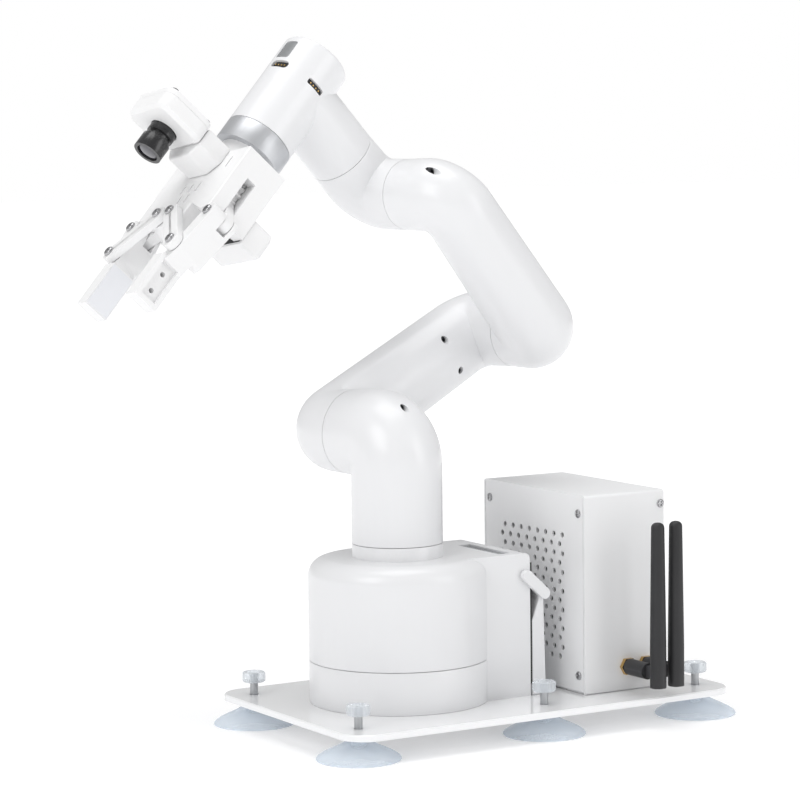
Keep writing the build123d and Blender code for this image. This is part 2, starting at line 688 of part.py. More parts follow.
# ================================================================ arm links
COLUMN_MID = Z * ((COLUMN_FOOT + SHOULDER_Z - BEND) / 2)
UPPER_MID = (LOW_ELBOW + HIGH_ELBOW) * 0.5
FORE_MID = (FORE_LOW + FORE_HIGH) * 0.5


def screw_seat(corner, along, across, place, depth):
    """Point beside an elbow's corner, a depth in from the corner along SIDE."""
    return corner + along * place[0] + across * place[1] + SIDE * depth


column_holes = [(screw_seat(SHOULDER, Z, AHEAD, COLUMN_SCREW, -COLUMN_R), SIDE, SCREW_WELL)]
upper_seats = [screw_seat(HIGH_ELBOW, UP_ARM, UP_ACROSS, place, -COLUMN_R) for place in UPPER_SCREWS]
upper_holes = [(seat, SIDE, SCREW_WELL) for seat in upper_seats]
fore_holes = [(screw_seat(FORE_HIGH, FORE, FORE_ACROSS, FORE_SCREW, -COLUMN_R), SIDE, SCREW_WELL)]
COLUMN_NAMES = ("column_casing", "column_panel")
UPPER_NAMES = ("upper_arm_casing", "upper_arm_panel")
FORE_NAMES = ("forearm_casing", "forearm_panel")
cased_link(COLUMN_NAMES, column_tube, column_room, COLUMN_MID, Z, AHEAD, COLUMN_WINDOW, column_holes)
cased_link(UPPER_NAMES, upper_tube, upper_room, UPPER_MID, UP_ARM, SIDE, UPPER_WINDOW, upper_holes)
cased_link(FORE_NAMES, fore_tube, fore_room, FORE_MID, FORE, SIDE, FORE_WINDOW, fore_holes)

with BuildPart() as wrist_casing:
    wrist_tube(0)
    wrist_tube(WALL, Mode.SUBTRACT)
    mouth(FORE_HIGH + SIDE * (WRIST_SEAM + GAP), SIDE, WRIST_R, SERVO_FLANGE)
    mouth(WRIST + ROLL * ROLL_SEAM, -ROLL, ROLL_R, SERVO_DEPTH)
save(wrist_casing, "wrist_casing")

with BuildPart() as upper_arm_screws:
    for place in UPPER_SCREWS:
        skin = (UPPER_TOP_R**2 - place[1] ** 2) ** 0.5
        seat = screw_seat(HIGH_ELBOW, UP_ARM, UP_ACROSS, place, 1 - skin)
        disc(seat, SIDE, SCREW_WELL - 0.1, 2)
save(upper_arm_screws, "upper_arm_screws")

servo("servo_shoulder", SHOULDER + SIDE * SHOULDER_SEAM, SIDE, SHOULDER_R, SERVO_DEPTH)
output_flange("flange_shoulder", SHOULDER + SIDE * SHOULDER_SEAM, SIDE, SHOULDER_R)
servo("servo_elbow", FORE_LOW + SIDE * ELBOW_SEAM, -SIDE, ELBOW_R, SERVO_DEPTH)
output_flange("flange_elbow", FORE_LOW + SIDE * ELBOW_SEAM, -SIDE, ELBOW_R)
servo("servo_wrist", FORE_HIGH + SIDE * WRIST_SEAM, SIDE, WRIST_R, SERVO_DEPTH)
output_flange("flange_wrist", FORE_HIGH + SIDE * WRIST_SEAM, SIDE, WRIST_R)
servo("servo_roll", WRIST + ROLL * ROLL_SEAM, ROLL, ROLL_R, SERVO_DEPTH)
output_flange("flange_roll", WRIST + ROLL * ROLL_SEAM, ROLL, ROLL_R)
servo("servo_tool", HEAD + TOOL * HEAD_END, TOOL, HEAD_R, SERVO_DEPTH)

# ================================================================ head
HEAD_PLANE = Plane(origin=HEAD, x_dir=JAW, z_dir=TOOL)


def head_tube(inset, mode=Mode.ADD):
    """Tool-axis cylinder with the roll joint's stub."""
    stub = WRIST + ROLL * (ROLL_SEAM + GAP)
    leg(stub, ROLL, WRIST_REACH - ROLL_SEAM - GAP, ROLL_R - inset, ROLL_R - inset, mode)
    disc(HEAD - TOOL * (HEAD_TOP - inset), TOOL, HEAD_R - inset, HEAD_TOP - inset + HEAD_END, mode)


def on_head(height, angle, radius=HEAD_R):
    """Plane on the head's skin, facing out, at a height along the tool axis and an angle from the jaw line."""
    out = JAW * cos(radians(angle)) + FACE * sin(radians(angle))
    return Plane(origin=HEAD + TOOL * height + out * radius, x_dir=TOOL, z_dir=out)


with BuildPart() as head_casing:
    head_tube(0)
    fillet(head_casing.faces().sort_by(Axis(HEAD, TOOL))[0].edges(), HEAD_EASE)
    head_tube(WALL, Mode.SUBTRACT)
    for height, angle, size in HEAD_OPENINGS:
        with BuildSketch(on_head(height, angle).offset(-WALL - 2)):
            RectangleRounded(*size)
        extrude(amount=WALL + 4, mode=Mode.SUBTRACT)
save(head_casing, "head_casing")

HEAD_INSERTS = (("head_key", HEAD_OPENINGS[:1], KEY_SINK), ("head_ports", HEAD_OPENINGS[1:], PORT_SINK))
for name, openings, depth in HEAD_INSERTS:
    with BuildPart() as insert:
        for height, angle, (long, wide, corner) in openings:
            with BuildSketch(on_head(height, angle).offset(-WALL - 4)):
                RectangleRounded(long - FIT, wide - FIT, corner - FIT)
            extrude(amount=WALL + 4)
        disc(HEAD - TOOL * HEAD_TOP, TOOL, HEAD_R - WALL - 1, HEAD_TOP + HEAD_END, Mode.SUBTRACT)
        disc(HEAD - TOOL * HEAD_TOP, TOOL, HEAD_R - depth, HEAD_TOP + HEAD_END, Mode.INTERSECT)
    save(insert, name)

with BuildPart() as tool_flange:
    flange_seat = HEAD + TOOL * (HEAD_END + GAP)
    disc(flange_seat, TOOL, HEAD_R, FLANGE_END - HEAD_END - GAP)
    disc(flange_seat, -TOOL, SHAFT_R, SHAFT_LENGTH + GAP)
    disc(HEAD + TOOL * FLANGE_END, -TOOL, FLANGE_BORE, FLANGE_BORE_DEPTH, Mode.SUBTRACT)
    with BuildSketch(HEAD_PLANE.offset(FLANGE_END)):
        with PolarLocations(FLANGE_PCD / 2, 4, start_angle=45):
            Circle(FLANGE_SCREW)
    extrude(amount=-FLANGE_SCREW_DEPTH, mode=Mode.SUBTRACT)
save(tool_flange, "tool_flange")

# ================================================================ gripper
GRIP = Plane(origin=HEAD, x_dir=TOOL, z_dir=FACE)  # x runs to the fingertips, y to the right finger


def layer(height):
    """Gripper working plane at a height above the tool axis."""
    return GRIP.offset(height)


def mirrored(place, side):
    """Gripper place on the right (+1) or the left (-1) side."""
    return (place[0], place[1] * side)


def pin(place, low, high, radius, mode=Mode.ADD):
    """Round pin or hole between two heights of the gripper."""
    with BuildSketch(layer(low)) as profile:
        with Locations(place):
            Circle(radius)
    extrude(profile.sketch, amount=high - low, mode=mode)


def bar(a, b, low, high, radius_a, radius_b, mode=Mode.ADD):
    """Flat link with a round boss at each end."""
    with BuildSketch(layer(low)) as profile:
        with Locations(a):
            Circle(radius_a)
        with Locations(b):
            Circle(radius_b)
        make_hull()
    extrude(profile.sketch, amount=high - low, mode=mode)


def block(x_range, y_range, z_range, mode=Mode.ADD):
    """Rectangular block given by its three ranges in the gripper's plane."""
    with BuildSketch(layer(z_range[0])) as profile:
        with Locations(((x_range[0] + x_range[1]) / 2, (y_range[0] + y_range[1]) / 2)):
            Rectangle(x_range[1] - x_range[0], y_range[1] - y_range[0])
    extrude(profile.sketch, amount=z_range[1] - z_range[0], mode=mode)


with BuildPart() as grip_housing:
    with BuildSketch(layer(GRIP_BOTTOM)):
        with BuildLine():
            Polyline(
                (GRIP_BACK, -GRIP_HALF),
                (GRIP_BACK, GRIP_HALF),
                (GRIP_FRONT, GRIP_HALF),
                (GRIP_FRONT, GRIP_HALF - GRIP_SHOULDER),
                (GRIP_WAIST, NOSE_HALF),
                (GRIP_NOSE, NOSE_HALF),
                (GRIP_NOSE, -NOSE_HALF),
                (GRIP_WAIST, -NOSE_HALF),
                (GRIP_FRONT, -GRIP_HALF + GRIP_SHOULDER),
                (GRIP_FRONT, -GRIP_HALF),
                close=True,
            )
        make_face()
    extrude(amount=GRIP_TOP - GRIP_BOTTOM)
    disc(HEAD + TOOL * FLANGE_END, TOOL, ADAPTER_R, GRIP_BACK - FLANGE_END)
    disc(HEAD + TOOL * FLANGE_END, -TOOL, FLANGE_BORE - RUN, FLANGE_BORE_DEPTH - SEAT)
    chamfer(grip_housing.faces().sort_by(Axis(HEAD, FACE))[-1].edges().filter_by(Axis(HEAD, TOOL)), EASE)
    for side in (1, -1):
        gx, gy = mirrored(GEAR_AT, side)
        pin((gx, gy), CRANK_LOW - FIT, CRANK_HIGH + FIT, GEAR_CAVITY, Mode.SUBTRACT)
        inner, outer = sorted((CRANK_SLOT_IN * side, (GRIP_HALF + 1) * side))
        block((CRANK_SLOT_X, GRIP_NOSE + 1), (inner, outer), (CRANK_LOW - FIT, CRANK_HIGH + FIT), Mode.SUBTRACT)
        pin(mirrored(LINK_AT, side), GRIP_BOTTOM - 1, GRIP_TOP + 1, PIVOT_R, Mode.SUBTRACT)
    block(POCKET_X, (-POCKET_HALF, POCKET_HALF), (GRIP_BOTTOM, POCKET_ROOF), Mode.SUBTRACT)
    for side in (1, -1):
        pin(mirrored(GEAR_AT, side), CRANK_LOW - AXLE_REACH, CRANK_HIGH + AXLE_REACH, PIN_R, Mode.SUBTRACT)
    for x, y, long, wide in TOP_SLOTS:
        with BuildSketch(layer(GRIP_TOP)):
            with Locations((x, y)):
                SlotOverall(long, wide)
        extrude(amount=-TOP_SLOT_DEPTH, mode=Mode.SUBTRACT)
save(grip_housing, "grip_housing")

with BuildPart() as grip_servo:
    block(MOTOR_X, MOTOR_Y, MOTOR_Z)
save(grip_servo, "grip_servo")

with BuildPart() as servo_cover:
    block(COVER_X, COVER_Y, (COVER_FLOOR, GRIP_BOTTOM - SEAT))
    chamfer(servo_cover.faces().sort_by(Axis(HEAD, FACE))[0].edges(), COVER_CHAMFER)
    room_x = (COVER_X[0] + COVER_WALL, COVER_X[1] - COVER_WALL)
    room_y = (COVER_Y[0] + COVER_WALL, COVER_Y[1] - COVER_WALL)
    block(room_x, room_y, (COVER_FLOOR + COVER_WALL, GRIP_BOTTOM), Mode.SUBTRACT)
save(servo_cover, "servo_cover")

CRANK_ARM = (CRANK_END[0] - GEAR_AT[0], CRANK_END[1] - GEAR_AT[1])
LINK_END = (LINK_AT[0] + CRANK_ARM[0], LINK_AT[1] + CRANK_ARM[1])
TOOTH_PITCH = 360 / GEAR_TEETH
for side, hand in ((1, "right"), (-1, "left")):
    hub = mirrored(GEAR_AT, side)
    tip = mirrored(CRANK_END, side)
    with BuildPart() as crank:
        pin(hub, CRANK_LOW, CRANK_HIGH, GEAR_ROOT)
        with BuildSketch(layer(CRANK_LOW)):
            facing = -90 * side + (TOOTH_PITCH / 2 if side < 0 else 0)
            with Locations(hub):
                with PolarLocations(GEAR_ROOT - TOOTH_SINK, GEAR_TEETH, start_angle=facing):
                    with Locations(Rotation(0, 0, -90)):
                        Trapezoid(TOOTH_ROOT, TOOTH_HEIGHT, TOOTH_FLANK, align=(Align.CENTER, Align.MIN))
        extrude(amount=CRANK_HIGH - CRANK_LOW)
        bar(hub, tip, CRANK_LOW, CRANK_HIGH, CRANK_HUB_R, CRANK_TIP_R)
        pin(hub, CRANK_LOW - 1, CRANK_HIGH + 1, PIN_R + RUN, Mode.SUBTRACT)
        pin(tip, CRANK_LOW - 1, CRANK_HIGH + 1, PIVOT_R + RUN, Mode.SUBTRACT)
    save(crank, f"crank_{hand}")

    with BuildPart() as link:
        a, b = mirrored(LINK_AT, side), mirrored(LINK_END, side)
        bar(a, b, GRIP_TOP + FIT, LINK_HIGH, LINK_R, LINK_R)
        pin(a, GRIP_TOP, LINK_HIGH + 1, PIVOT_R + RUN, Mode.SUBTRACT)
        pin(b, GRIP_TOP, LINK_HIGH + 1, PIVOT_R + RUN, Mode.SUBTRACT)
    save(link, f"link_{hand}")

    with BuildPart() as finger:
        outer, inner = mirrored(CRANK_END, side), mirrored(LINK_END, side)
        bar(outer, inner, FINGER_LOW, GRIP_TOP, FINGER_BOSS, FINGER_BOSS)
        pad_y = sorted((PAD_IN * side, PAD_OUT * side))
        block((PAD_START, PAD_END), pad_y, (PAD_LOW, PAD_HIGH))
        neck = (PAD_START + PAD_NECK_REACH, (PAD_IN + PAD_OUT) / 2 * side)
        bar(inner, neck, PAD_LOW, GRIP_TOP, FINGER_BOSS, PAD_NECK_R)
        recess_x = (PAD_START + PAD_RECESS_START, PAD_END - PAD_RECESS)
        recess_y = sorted(((PAD_OUT - PAD_RECESS) * side, (PAD_OUT + 1) * side))
        block(recess_x, recess_y, (PAD_LOW + PAD_RECESS, PAD_HIGH - PAD_RECESS), Mode.SUBTRACT)
        for reach in PAD_BOLTS:
            seat = Vector(PAD_START + reach, (PAD_OUT + 1) * side, (PAD_LOW + PAD_HIGH) / 2)
            disc(GRIP.from_local_coords(seat), JAW * -side, PAD_BOLT_R, PAD_OUT - PAD_IN + 2, Mode.SUBTRACT)
        fork_x = (CRANK_END[0] - FORK_DEPTH[0], CRANK_END[0] + FORK_DEPTH[1])
        fork_y = sorted(((CRANK_END[1] - FORK_WIDTH[0]) * side, (CRANK_END[1] + FORK_WIDTH[1]) * side))
        block(fork_x, fork_y, (CRANK_LOW - FIT, CRANK_HIGH + FIT), Mode.SUBTRACT)
        pin(outer, FINGER_LOW - 1, GRIP_TOP + 1, PIVOT_R + PRESS, Mode.SUBTRACT)
        pin(inner, FINGER_LOW - 1, GRIP_TOP + 1, PIVOT_R + PRESS, Mode.SUBTRACT)
    save(finger, f"finger_{hand}")

    with BuildPart() as finger_screws:
        for place, top in ((outer, GRIP_TOP), (inner, LINK_HIGH + FIT / 2)):
            pin(place, FINGER_LOW - SCREW_TAIL, top, PIVOT_R)
            pin(place, top, top + SCREW_HEAD, SCREW_HEAD_R)
    save(finger_screws, f"finger_screws_{hand}")

with BuildPart() as grip_pins:
    for side in (1, -1):
        axle_low = CRANK_LOW - AXLE_REACH + EASE
        pin(mirrored(GEAR_AT, side), axle_low, CRANK_HIGH + AXLE_REACH - EASE, PIN_R - PRESS)
        place = mirrored(LINK_AT, side)
        pin(place, GRIP_BOTTOM + 2, LINK_HIGH + FIT / 2, PIVOT_R - PRESS)
        pin(place, LINK_HIGH + FIT / 2, LINK_HIGH + FIT / 2 + SCREW_HEAD, SCREW_HEAD_R)
save(grip_pins, "grip_pins")

# ================================================================ wrist camera
with BuildPart() as camera_stem:
    block(STEM_X, (-STEM_HALF, STEM_HALF), (GRIP_TOP, CAMERA_N[0]))
    chamfer(camera_stem.edges().filter_by(Axis(HEAD, FACE)).sort_by(Axis(HEAD, TOOL))[-2:], STEM_CHAMFER)
save(camera_stem, "camera_stem")

CAM_MID = (CAMERA_N[0] + CAMERA_N[1]) / 2
CAM_DEEP = CAMERA_H[1] - CAMERA_H[0] - CAM_BACK
CAM_PLANE = Plane(origin=HEAD + TOOL * CAMERA_H[0] + FACE * CAM_MID, x_dir=JAW, z_dir=TOOL)
CAM_SIZE = (2 * CAMERA_HALF, CAMERA_N[1] - CAMERA_N[0])
CAM_SCREWS = [(x, y) for x in (-CAM_SCREW_X, CAM_SCREW_X) for y in (-CAM_SCREW_Y, CAM_SCREW_Y)]
with BuildPart() as camera_front:
    with BuildSketch(CAM_PLANE.offset(CAM_BACK)):
        RectangleRounded(*CAM_SIZE, CAM_CORNER)
    extrude(amount=CAM_DEEP)
    chamfer(camera_front.faces().sort_by(Axis(HEAD, TOOL))[-1].edges(), CAM_CHAMFER)
    with BuildSketch(CAM_PLANE.offset(CAM_BACK)):
        Rectangle(CAM_SIZE[0] - 2 * CAM_WALL, CAM_SIZE[1] - 2 * CAM_WALL)
    extrude(amount=CAM_DEEP - CAM_FACE, mode=Mode.SUBTRACT)
    with BuildSketch(CAM_PLANE.offset(CAM_BACK)):
        with Locations((0, LENS_N - CAM_MID)):
            Circle(LENS_MOUNT + FIT)
    extrude(amount=CAM_DEEP, mode=Mode.SUBTRACT)
save(camera_front, "camera_front")

with BuildPart() as camera_back:
    with BuildSketch(CAM_PLANE):
        RectangleRounded(*CAM_SIZE, CAM_CORNER)
        with Locations(CAM_SCREWS):
            Circle(SCREW_R, mode=Mode.SUBTRACT)
    extrude(amount=CAM_BACK - SEAT)
save(camera_back, "camera_back")

with BuildPart() as camera_screws:
    for x, y in CAM_SCREWS:
        seat = CAM_PLANE.from_local_coords(Vector(x, y, 0))
        disc(seat, -TOOL, *CAM_SCREW_HEAD)
        disc(seat, TOOL, SCREW_R - PRESS, CAM_BACK - FIT)
save(camera_screws, "camera_screws")

LENS = CAM_PLANE.from_local_coords(Vector(0, LENS_N - CAM_MID, CAM_BACK + CAM_FACE))
with BuildPart() as camera_lens:
    mount, neck, barrel = LENS_LENGTHS
    neck_start = LENS + TOOL * (CAM_DEEP - CAM_FACE + mount)
    tip = neck_start + TOOL * (neck + barrel)
    disc(LENS, TOOL, LENS_MOUNT, CAM_DEEP - CAM_FACE + mount)
    disc(neck_start, TOOL, LENS_NECK, neck)
    disc(tip, -TOOL, LENS_BARREL, barrel)
    disc(tip, -TOOL, LENS_NECK, LENS_DISH, Mode.SUBTRACT)
save(camera_lens, "camera_lens")
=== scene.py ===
"""Looks of the desktop robot arm: materials, screws, suction cups, lens glass, studio and camera."""

import json
import math

import bmesh
import bpy
from mathutils import Euler, Matrix, Vector


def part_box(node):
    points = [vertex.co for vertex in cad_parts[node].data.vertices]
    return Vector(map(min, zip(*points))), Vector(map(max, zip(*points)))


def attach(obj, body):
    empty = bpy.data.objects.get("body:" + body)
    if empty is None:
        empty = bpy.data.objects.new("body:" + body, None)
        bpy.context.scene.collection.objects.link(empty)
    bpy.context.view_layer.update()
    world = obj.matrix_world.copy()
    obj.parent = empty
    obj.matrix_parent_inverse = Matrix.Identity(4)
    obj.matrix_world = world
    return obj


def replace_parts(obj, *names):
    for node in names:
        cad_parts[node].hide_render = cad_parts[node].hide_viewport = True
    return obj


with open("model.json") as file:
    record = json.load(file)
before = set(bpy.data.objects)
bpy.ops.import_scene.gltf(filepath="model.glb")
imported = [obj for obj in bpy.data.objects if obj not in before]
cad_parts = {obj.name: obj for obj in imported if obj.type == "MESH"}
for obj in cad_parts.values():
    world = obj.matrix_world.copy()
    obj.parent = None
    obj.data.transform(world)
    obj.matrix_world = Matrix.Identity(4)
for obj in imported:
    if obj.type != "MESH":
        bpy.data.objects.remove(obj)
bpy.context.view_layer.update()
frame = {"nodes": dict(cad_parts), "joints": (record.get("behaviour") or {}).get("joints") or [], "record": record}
NODES = frame["nodes"]
SLOTS = {part["node"]: part["material_slot"] for part in frame["record"]["subparts"]}
JOINTS = {joint["name"]: joint for joint in frame["joints"]}
MM = 0.001
FULL_TURN = 2 * math.pi


# ---------------------------------------------------------------- node helpers
def new_material(name):
    """Empty node material with a Principled shader: (material, nodes, link function, shader)."""
    mat = bpy.data.materials.new(name)
    mat.use_nodes = True
    tree = mat.node_tree
    return mat, tree.nodes, tree.links.new, tree.nodes["Principled BSDF"]


def noise(nodes, link, scale, detail, stretch=(1, 1, 1)):
    """Noise texture in object space, stretched if asked; its Fac output."""
    coords = nodes.new("ShaderNodeTexCoord")
    mapping = nodes.new("ShaderNodeMapping")
    mapping.inputs["Scale"].default_value = stretch
    texture = nodes.new("ShaderNodeTexNoise")
    texture.inputs["Scale"].default_value = scale
    texture.inputs["Detail"].default_value = detail
    link(coords.outputs["Object"], mapping.inputs["Vector"])
    link(mapping.outputs["Vector"], texture.inputs["Vector"])
    return texture.outputs["Fac"]


def spread(nodes, link, source, low, high, clip=(0.3, 0.7)):
    """Map a 0 to 1 texture value to a range."""
    remap = nodes.new("ShaderNodeMapRange")
    remap.inputs["From Min"].default_value = clip[0]
    remap.inputs["From Max"].default_value = clip[1]
    remap.inputs["To Min"].default_value = low
    remap.inputs["To Max"].default_value = high
    link(source, remap.inputs["Value"])
    return remap.outputs["Result"]


def mix_colour(nodes, link, factor, first, second):
    """Blend two colours, each a tuple or a socket, by a factor socket."""
    mix = nodes.new("ShaderNodeMix")
    mix.data_type = "RGBA"
    link(factor, mix.inputs["Factor"])
    for key, value in (("A", first), ("B", second)):
        socket = next(s for s in mix.inputs if s.name == key and s.type == "RGBA")
        if isinstance(value, tuple):
            socket.default_value = (*value, 1)
        else:
            link(value, socket)
    return next(s for s in mix.outputs if s.type == "RGBA")


def bump(nodes, link, shader, height, distance):
    """Fine relief from a height socket, with its depth in metres."""
    relief = nodes.new("ShaderNodeBump")
    relief.inputs["Strength"].default_value = 1.0
    relief.inputs["Distance"].default_value = distance
    link(height, relief.inputs["Height"])
    link(relief.outputs["Normal"], shader.inputs["Normal"])


def edge_mask(nodes, link, low, high):
    """0 on flat skin to 1 on worn convex edges."""
    geometry = nodes.new("ShaderNodeNewGeometry")
    return spread(nodes, link, geometry.outputs["Pointiness"], 0, 1, (low, high))


MOTTLE_SCALE, PATCH_SCALE = 14, 60  # noise scales of the colour's and the roughness's variation
MOST_OF_NOISE = (0.2, 0.8)
WORN_POINTINESS = (0.52, 0.6)
COAT_ROUGHNESS = 0.12


def surface(name, colour, shade, rough, grain, metallic=0.0, coat=0.0, stretch=(1, 1, 1), edge=None):
    """Opaque finish: two mottled tones, uneven roughness, fine relief and, if given, another tone on edges.

    rough is the lowest and highest roughness, and grain is the relief's noise scale and its depth in metres.
    """
    mat, nodes, link, shader = new_material(name)
    mottle = spread(nodes, link, noise(nodes, link, MOTTLE_SCALE, 2), 0, 1, MOST_OF_NOISE)
    tone = mix_colour(nodes, link, mottle, colour, shade)
    if edge:
        tone = mix_colour(nodes, link, edge_mask(nodes, link, *WORN_POINTINESS), tone, edge)
    link(tone, shader.inputs["Base Color"])
    patches = noise(nodes, link, PATCH_SCALE, 5, stretch)
    link(spread(nodes, link, patches, *rough, MOST_OF_NOISE), shader.inputs["Roughness"])
    shader.inputs["Metallic"].default_value = metallic
    shader.inputs["Coat Weight"].default_value = coat
    shader.inputs["Coat Roughness"].default_value = COAT_ROUGHNESS
    bump(nodes, link, shader, noise(nodes, link, grain[0], 6, stretch), grain[1])
    return mat


CLEAR_IOR = 1.3  # below the real plastic's, so that thin walls don't darken
CLEAR_RIM, CLEAR_TINT = (0.96, 0.98, 1.0), (0.95, 0.975, 1.0, 1)
SWIRL_SCALE = 90
CLEAR_GRAIN = (400, 0.00003)  # noise scale, and depth in metres
RIM_SEE_THROUGH = 0.05


def clear(name, colour, rough, haze, see_through):
    """Soft clear plastic: a share of the light goes straight through its faces, and its rims look milky."""
    mat, nodes, link, shader = new_material(name)
    swirl = spread(nodes, link, noise(nodes, link, SWIRL_SCALE, 5), 0, 1)
    facing = nodes.new("ShaderNodeLayerWeight")
    facing.inputs["Blend"].default_value = 0.4
    tone = mix_colour(nodes, link, facing.outputs["Facing"], CLEAR_RIM, colour)
    link(tone, shader.inputs["Base Color"])
    link(spread(nodes, link, swirl, rough, rough + 0.1, (0, 1)), shader.inputs["Roughness"])
    shader.inputs["Transmission Weight"].default_value = 1 - haze
    shader.inputs["IOR"].default_value = CLEAR_IOR
    bump(nodes, link, shader, noise(nodes, link, CLEAR_GRAIN[0], 3), CLEAR_GRAIN[1])
    through = nodes.new("ShaderNodeBsdfTransparent")
    through.inputs["Color"].default_value = CLEAR_TINT
    blend = nodes.new("ShaderNodeMixShader")
    share = spread(nodes, link, facing.outputs["Facing"], see_through, RIM_SEE_THROUGH, (0.1, 0.9))
    link(share, blend.inputs["Fac"])
    link(shader.outputs["BSDF"], blend.inputs[1])
    link(through.outputs["BSDF"], blend.inputs[2])
    link(blend.outputs["Shader"], nodes["Material Output"].inputs["Surface"])
    return mat


# ---------------------------------------------------------------- materials by slot
WHITE = (0.805, 0.808, 0.82)
MATERIALS = {
    "body_white": surface(
        "moulded_white", WHITE, (0.79, 0.793, 0.805), (0.28, 0.34), (1400, 0.000006), coat=0.2
    ),
    "plate_white": surface(
        "gloss_sheet", (0.92, 0.925, 0.935), (0.91, 0.915, 0.925), (0.08, 0.16), (500, 0.000006), coat=0.6
    ),
    "case_white": surface(
        "powder_coat", (0.85, 0.853, 0.86), (0.83, 0.833, 0.84), (0.42, 0.55), (2600, 0.00005)
    ),
    "print_white": surface(
        "printed_white",
        (0.86, 0.86, 0.863),
        (0.835, 0.835, 0.838),
        (0.42, 0.52),
        (160, 0.00004),
        stretch=(1, 1, 12),
    ),
    "flange_grey": surface(
        "bead_blasted", (0.60, 0.61, 0.63), (0.55, 0.56, 0.58), (0.36, 0.46), (3000, 0.00002), metallic=0.8
    ),
    "servo_metal": surface(
        "dark_anodised", (0.12, 0.12, 0.13), (0.08, 0.08, 0.09), (0.35, 0.5), (1500, 0.00002), metallic=0.8
    ),
    "key_grey": surface(
        "brushed_key",
        (0.42, 0.43, 0.44),
        (0.34, 0.35, 0.36),
        (0.3, 0.45),
        (300, 0.00002),
        metallic=0.7,
        stretch=(1, 1, 20),
    ),
    "black_plastic": surface(
        "black_moulded", (0.014, 0.014, 0.016), (0.022, 0.022, 0.024), (0.4, 0.6), (1200, 0.00002)
    ),
    "lens_black": surface(
        "lens_barrel", (0.010, 0.010, 0.011), (0.016, 0.016, 0.017), (0.16, 0.3), (900, 0.00001), coat=0.3
    ),
    "antenna_black": surface(
        "antenna_rubber",
        (0.012, 0.012, 0.013),
        (0.024, 0.024, 0.026),
        (0.42, 0.6),
        (1800, 0.00003),
        edge=(0.05, 0.05, 0.055),
    ),
    "connector_gold": surface(
        "gold_plate", (0.72, 0.50, 0.20), (0.55, 0.36, 0.14), (0.16, 0.32), (800, 0.00001), metallic=1.0
    ),
    "screw_steel": surface(
        "screw_steel", (0.48, 0.48, 0.49), (0.36, 0.36, 0.37), (0.2, 0.36), (900, 0.00001), metallic=1.0
    ),
    "screw_dark": surface(
        "screw_blackened",
        (0.07, 0.07, 0.075),
        (0.04, 0.04, 0.045),
        (0.28, 0.45),
        (900, 0.00001),
        metallic=0.9,
    ),
    "stud_grey": surface(
        "plain_stud", (0.50, 0.51, 0.53), (0.40, 0.41, 0.42), (0.22, 0.4), (700, 0.00001), metallic=1.0
    ),
    "board_green": surface(
        "solder_mask", (0.012, 0.09, 0.045), (0.010, 0.065, 0.035), (0.25, 0.4), (500, 0.00002), coat=0.3
    ),
    "window_dark": surface(
        "smoked_window", (0.16, 0.17, 0.19), (0.11, 0.12, 0.13), (0.1, 0.2), (500, 0.000005), coat=0.6
    ),
    "finger_pad": surface(
        "silicone_pad", (0.80, 0.81, 0.84), (0.77, 0.78, 0.81), (0.5, 0.6), (700, 0.00004)
    ),
    "lens_glass": surface(
        "coated_glass", (0.010, 0.012, 0.022), (0.020, 0.010, 0.030), (0.02, 0.05), (300, 0.000001), coat=1.0
    ),
    "cup_clear": clear("clear_vinyl", (0.78, 0.87, 0.97), rough=0.16, haze=0.6, see_through=0.72),
    "knob_clear": clear("clear_moulding", (0.80, 0.83, 0.86), rough=0.2, haze=0.6, see_through=0.5),
}

# ---------------------------------------------------------------- CAD nodes: material and softened edges
EDGE_SOFTENING = {  # mm, by material slot
    "body_white": 0.45,
    "plate_white": 0.35,
    "case_white": 0.3,
    "print_white": 0.3,
    "flange_grey": 0.25,
    "antenna_black": 0.25,
    "lens_black": 0.25,
}
SHARP_ANGLE = math.radians(32)
WELD_DISTANCE = 0.01 * MM
# nodes with crisp openings or a chamfer of their own
KEEP_SHARP = ("case_front_panel", "head_casing", "base_plate", "camera_back")
# mm, for nodes whose edges are rounder than their slot's
ROUNDER = {
    "camera_front": 1.3,
    "camera_stem": 1.3,
    "servo_cover": 1.2,
    "grip_housing": 0.8,
    "rear_cover": 0.8,
}


def dress(node):
    """Material, welded mesh and a small rounding on a CAD node's sharp edges."""
    obj = NODES[node]
    slot = SLOTS[node]
    obj.data.materials.clear()
    obj.data.materials.append(MATERIALS[slot])
    if slot in EDGE_SOFTENING and node not in KEEP_SHARP:
        weld = obj.modifiers.new("weld", "WELD")
        weld.merge_threshold = WELD_DISTANCE
        bevel = obj.modifiers.new("round", "BEVEL")
        bevel.width = ROUNDER.get(node, EDGE_SOFTENING[slot]) * MM
        bevel.segments = 3
        bevel.limit_method = "ANGLE"
        bevel.angle_limit = SHARP_ANGLE
        bevel.harden_normals = True


for node in NODES:
    dress(node)

# ---------------------------------------------------------------- mesh helpers
SAME_POINT = 0.001 * MM
SAME_CORNER = 0.02 * MM  # a CAD solid's faces share their corners only to within this


def place(centre, axis):
    """Matrix that puts a piece's own origin at a centre and its +Z along an axis."""
    turn = Vector(axis).normalized().to_track_quat("Z", "Y").to_matrix().to_4x4()
    return Matrix.Translation(Vector(centre)) @ turn


def rings(mesh, outline, matrix, steps, radius_at=None):
    """Rings of vertices that revolve (radius, height) points about +Z, joined by quads."""
    made = []
    for radius, height in outline:
        ring = []
        for i in range(steps):
            angle = FULL_TURN * i / steps
            spoke = radius_at(angle, radius) if radius_at else radius
            corner = Vector((spoke * math.cos(angle), spoke * math.sin(angle), height))
            ring.append(mesh.verts.new(matrix @ corner))
        made.append(ring)
    for low, high in zip(made, made[1:], strict=False):
        join_rings(mesh, low, high)
    return made


